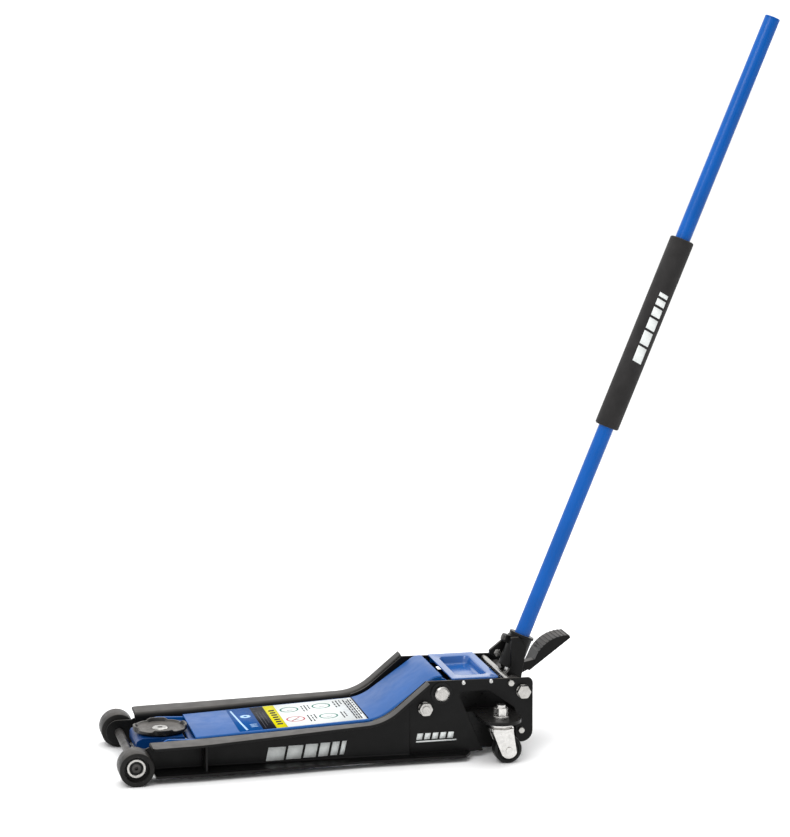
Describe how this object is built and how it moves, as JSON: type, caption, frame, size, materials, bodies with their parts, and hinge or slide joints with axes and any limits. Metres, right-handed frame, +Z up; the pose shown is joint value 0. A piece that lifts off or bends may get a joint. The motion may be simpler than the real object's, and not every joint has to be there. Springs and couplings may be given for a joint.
{
  "type": "car jack",
  "caption": "Low-profile hydraulic trolley jack: long blue lift arm with turning saddle, black side frame on wheels and swivel casters, foot pedal and long pump handle with foam grip.",
  "frame": {"origin": "centre of the footprint of the whole jack with its handle, on the floor", "axes": "+X rearward towards the operator, from the saddle end to the handle end; +Y to the operator's right; +Z up"},
  "size_m": [1.2178, 0.348, 1.3017],
  "materials": {
    "frame_black": "semi-gloss powder coat",
    "arm_blue": "gloss powder coat",
    "tray_blue": "gloss powder coat",
    "handle_blue": "gloss powder coat",
    "zinc_fastener": "bright zinc plating",
    "caster_zinc": "bright zinc plating",
    "bright_steel": "ground steel",
    "spring_steel": "oiled spring steel",
    "dark_steel": "dark phosphate",
    "cast_grey": "painted casting",
    "saddle_iron": "dark painted casting",
    "wheel_nylon": "satin moulded",
    "caster_tyre": "dark moulded",
    "grip_foam": "matt foam"
  },
  "bodies": {
    "frame": {"side_plate_left": "frame_black", "side_plate_right": "frame_black", "caster_bracket_left": "frame_black", "caster_bracket_right": "frame_black", "front_cross_plate": "frame_black", "rear_cross_plate": "frame_black", "front_axle": "dark_steel", "axle_retainers": "zinc_fastener", "tie_rods": "zinc_fastener", "tie_bolts": "zinc_fastener", "tray_cover": "tray_blue", "tray_screws": "zinc_fastener", "pump_body": "cast_grey", "hydraulic_reservoir": "cast_grey", "filler_plug": "zinc_fastener", "arm_pivot_shaft": "zinc_fastener", "arm_pivot_washers": "dark_steel", "levelling_studs": "zinc_fastener", "socket_pivot_bolts": "zinc_fastener", "pivot_spacers": "dark_steel", "caster_studs": "zinc_fastener", "plunger_springs": "spring_steel", "arm_return_springs": "spring_steel"},
    "lift_arm": {"arm_side_left": "arm_blue", "arm_side_right": "arm_blue", "arm_cover": "arm_blue", "arm_cross_plates": "arm_blue", "arm_pivot_tube": "arm_blue", "arm_heel_plates": "arm_blue", "heel_pin": "zinc_fastener", "carrier_pin": "zinc_fastener"},
    "levelling_rods": {"levelling_rods": "dark_steel"},
    "saddle_carrier": {"saddle_carrier": "arm_blue", "levelling_pin": "zinc_fastener"},
    "saddle": {"saddle": "saddle_iron", "saddle_screw": "zinc_fastener"},
    "ram": {"ram_rod": "bright_steel"},
    "front_wheel_left": {"front_wheel_left": "wheel_nylon", "hub_ring_left": "bright_steel"},
    "front_wheel_right": {"front_wheel_right": "wheel_nylon", "hub_ring_right": "bright_steel"},
    "caster_left": {"caster_fork_left": "caster_zinc", "caster_axle_left": "caster_zinc"},
    "caster_right": {"caster_fork_right": "caster_zinc", "caster_axle_right": "caster_zinc"},
    "caster_wheel_left": {"caster_wheel_left": "caster_tyre"},
    "caster_wheel_right": {"caster_wheel_right": "caster_tyre"},
    "handle_socket": {"handle_socket": "frame_black", "socket_roller": "zinc_fastener", "socket_stop_bolt": "zinc_fastener", "collar_bolt": "zinc_fastener"},
    "handle": {"handle_lower_tube": "handle_blue", "handle_upper_tube": "handle_blue", "handle_grip": "grip_foam", "handle_cap": "handle_blue", "release_key": "zinc_fastener"},
    "release_valve": {"release_valve": "zinc_fastener"},
    "foot_pedal": {"foot_pedal": "frame_black"},
    "pump_plunger": {"pump_plunger": "bright_steel"},
    "pedal_plunger": {"pedal_plunger": "bright_steel"}
  },
  "joints": [
    {"name": "lift_arm_pivot", "type": "hinge", "parent": "frame", "child": "lift_arm", "pos_m": [-0.03269, 0, 0.1198], "axis": [0, 1, 0], "range_deg": [0, 55], "deforming": ["arm_return_springs"]},
    {"name": "ram_slide", "type": "slide", "parent": "frame", "child": "ram", "axis": [-1, 0, 0], "range_m": [0, 0.0408]},
    {"name": "levelling_rod_pivot", "type": "hinge", "parent": "frame", "child": "levelling_rods", "pos_m": [-0.06259, 0, 0.0942], "axis": [0, 1, 0], "range_deg": [0, 55]},
    {"name": "saddle_level_pivot", "type": "hinge", "parent": "lift_arm", "child": "saddle_carrier", "pos_m": [-0.51289, 0, 0.045], "axis": [0, 1, 0], "range_deg": [-55, 0]},
    {"name": "saddle_turn", "type": "hinge", "parent": "saddle_carrier", "child": "saddle", "pos_m": [-0.51849, 0, 0.056], "axis": [0, 0, 1], "continuous": true},
    {"name": "front_wheel_left_spin", "type": "hinge", "parent": "frame", "child": "front_wheel_left", "pos_m": [-0.57889, -0.131, 0.03], "axis": [0, 1, 0], "continuous": true},
    {"name": "front_wheel_right_spin", "type": "hinge", "parent": "frame", "child": "front_wheel_right", "pos_m": [-0.57889, 0.131, 0.03], "axis": [0, 1, 0], "continuous": true},
    {"name": "caster_left_swivel", "type": "hinge", "parent": "frame", "child": "caster_left", "pos_m": [0.06511, -0.138, 0.06], "axis": [0, 0, 1], "continuous": true},
    {"name": "caster_right_swivel", "type": "hinge", "parent": "frame", "child": "caster_right", "pos_m": [0.06511, 0.138, 0.06], "axis": [0, 0, 1], "continuous": true},
    {"name": "caster_wheel_left_spin", "type": "hinge", "parent": "caster_left", "child": "caster_wheel_left", "pos_m": [0.07611, -0.138, 0.025], "axis": [0, 1, 0], "continuous": true},
    {"name": "caster_wheel_right_spin", "type": "hinge", "parent": "caster_right", "child": "caster_wheel_right", "pos_m": [0.07611, 0.138, 0.025], "axis": [0, 1, 0], "continuous": true},
    {"name": "handle_pump", "type": "hinge", "parent": "frame", "child": "handle_socket", "pos_m": [0.11611, 0, 0.1156], "axis": [0, 1, 0], "range_deg": [-12, 50], "deforming": ["plunger_springs"]},
    {"name": "handle_twist", "type": "hinge", "parent": "handle_socket", "child": "handle", "pos_m": [0.13961, 0, 0.1919], "axis": [0.3819, 0, 0.9242], "range_deg": [0, 180]},
    {"name": "release_valve_turn", "type": "hinge", "parent": "frame", "child": "release_valve", "pos_m": [0.08111, -0.014, 0.06], "axis": [1, 0, 0], "range_deg": [0, 180]},
    {"name": "foot_pedal_press", "type": "hinge", "parent": "frame", "child": "foot_pedal", "pos_m": [0.11611, 0.035, 0.1156], "axis": [0, 1, 0], "range_deg": [0, 25], "stiffness_Nm_per_rad": 4, "springref_deg": -25.78},
    {"name": "pump_plunger_slide", "type": "slide", "parent": "frame", "child": "pump_plunger", "axis": [1, 0, 0], "range_m": [-0.0135, 0.0033]},
    {"name": "pedal_plunger_slide", "type": "slide", "parent": "frame", "child": "pedal_plunger", "axis": [1, 0, 0], "range_m": [-0.0114, 0]}
  ],
  "couplings": [
    {"joint": "ram_slide", "follows": "lift_arm_pivot", "m_per_rad": 0.04233},
    {"joint": "levelling_rod_pivot", "follows": "lift_arm_pivot", "ratio": 1},
    {"joint": "saddle_level_pivot", "follows": "lift_arm_pivot", "ratio": -1},
    {"joint": "release_valve_turn", "follows": "handle_twist", "ratio": 1},
    {"joint": "pump_plunger_slide", "follows": "handle_pump", "m_per_rad": -0.01537},
    {"joint": "pedal_plunger_slide", "follows": "foot_pedal_press", "m_per_rad": -0.025794}
  ]
}
